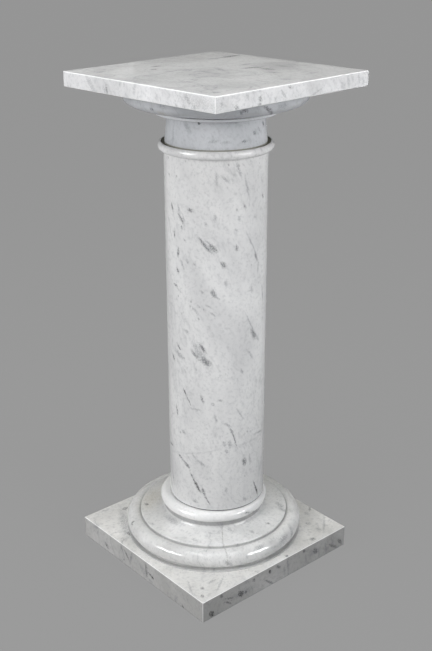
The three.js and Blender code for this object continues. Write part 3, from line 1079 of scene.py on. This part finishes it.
def make_floor():
    """A plain grey floor. It glows evenly, so that it looks the same near the lamps and far off."""
    mesh = bpy.data.meshes.new("Floor")
    corners = [(-FLOOR_REACH, -FLOOR_REACH, 0), (FLOOR_REACH, -FLOOR_REACH, 0),
               (FLOOR_REACH, FLOOR_REACH, 0), (-FLOOR_REACH, FLOOR_REACH, 0)]
    mesh.from_pydata(corners, [], [(0, 1, 2, 3)])
    floor = make_object("Floor", mesh)
    n = Nodes("Floor paint")
    n.shader.inputs["Base Color"].default_value = (FLOOR_TONE, FLOOR_TONE, FLOOR_TONE, 1)
    n.shader.inputs["Roughness"].default_value = 0.9
    n.shader.inputs["Specular IOR Level"].default_value = 0.1
    n.shader.inputs["Emission Color"].default_value = (1, 1, 1, 1)
    n.shader.inputs["Emission Strength"].default_value = FLOOR_GLOW
    mesh.materials.append(n.material)


def soft_lamp(name, place, aim, size, power, colour=(1, 1, 1), glint=False, spread=180):
    """A soft box at a place in view directions, aimed at a level on the middle line. size is its width
    and height, and spread its beam in degrees. A fill lamp only lights, and a glint only mirrors."""
    data = bpy.data.lights.new(name, "AREA")
    data.shape = "RECTANGLE"
    data.size, data.size_y = size
    data.spread = math.radians(spread)
    data.energy = power
    data.color = colour
    lamp = bpy.data.objects.new(name, data)
    lamp.visible_glossy = glint
    lamp.visible_diffuse = not glint
    where = in_view(*place)
    facing = (UP * aim - where).to_track_quat("-Z", "Y")
    lamp.matrix_world = Matrix.Translation(where) @ facing.to_matrix().to_4x4()
    bpy.context.collection.objects.link(lamp)


def make_room():
    """The room beyond the floor: a plain grey to look at, that gives little light of its own."""
    world = bpy.data.worlds.new("Room")
    world.use_nodes = True
    tree = world.node_tree
    background = tree.nodes["Background"]
    background.inputs["Color"].default_value = (1, 1, 1, 1)
    seen = tree.nodes.new("ShaderNodeLightPath")
    level = tree.nodes.new("ShaderNodeMapRange")
    level.inputs["To Min"].default_value = ROOM_LIGHT
    level.inputs["To Max"].default_value = ROOM_SEEN
    tree.links.new(seen.outputs["Is Camera Ray"], level.inputs["Value"])
    tree.links.new(level.outputs[0], background.inputs["Strength"])
    bpy.context.scene.world = world


# Lamps that light: place to the right, away and up; level they face; width and height; power; colour; beam
FILLS = {
    "Overhead": dict(place=(0, -0.5, 2.8), aim=0, size=(1.2, 1.2), power=30.6),
    "Behind": dict(place=(0, 1.6, 2.6), aim=0.3, size=(1, 1), power=10.3, colour=(1, 0.97, 0.85)),
    "Left near": dict(place=(-1.6, -1.5, 1.6), aim=0.7, size=(1.2, 1.2), power=27.7),
    "Left low": dict(place=(-1.8, -0.6, 0.5), aim=0.3, size=(0.8, 0.8), power=9.4),
    "Right near": dict(place=(1.4, -1.2, 1.5), aim=0.8, size=(1, 1), power=10.4, colour=(1, 0.98, 0.96)),
    "Right low": dict(place=(1.8, -0.6, 0.5), aim=0.3, size=(0.8, 0.8), power=2.2, colour=(0.7, 0.85, 1)),
    "Right beam": dict(place=(1.3, -0.9, 1.25), aim=0.98, size=(0.7, 0.7), power=1.0, spread=58),
    "Right beam, low": dict(place=(1.3, -0.9, 0.8), aim=0.42, size=(0.5, 0.5), power=0.26, spread=40),
    "Front top": dict(place=(0, -1.6, 2.8), aim=0.3, size=(1, 1), power=6.6, colour=(0.8, 0.9, 1)),
    "Front far": dict(place=(0, -2.6, 1.3), aim=0.5, size=(1.2, 1.2), power=1.6),
}
# Lamps that only mirror in the polish. The windows stand above all that the neck mirrors.
GLINTS = {
    "Left window": dict(place=(-3.4, -2.1, 2.05), aim=0.6, size=(2.4, 1.2), power=165),
    "Right window": dict(place=(3.4, -2.1, 2.05), aim=0.6, size=(2.0, 1.2), power=150),
    "Ceiling": dict(place=(0, -0.5, 2.8), aim=0, size=(1.6, 1.6), power=50),
    "Back left": dict(place=(-1.05, 3.5, 1.6), aim=1.0, size=(1.3, 0.5), power=0.36),
}

make_floor()
for lamp_name, facts in FILLS.items():
    soft_lamp(lamp_name, **facts)
for lamp_name, facts in GLINTS.items():
    soft_lamp(lamp_name, glint=True, **facts)
make_room()
make_camera()
bpy.context.scene.view_settings.view_transform = "Standard"
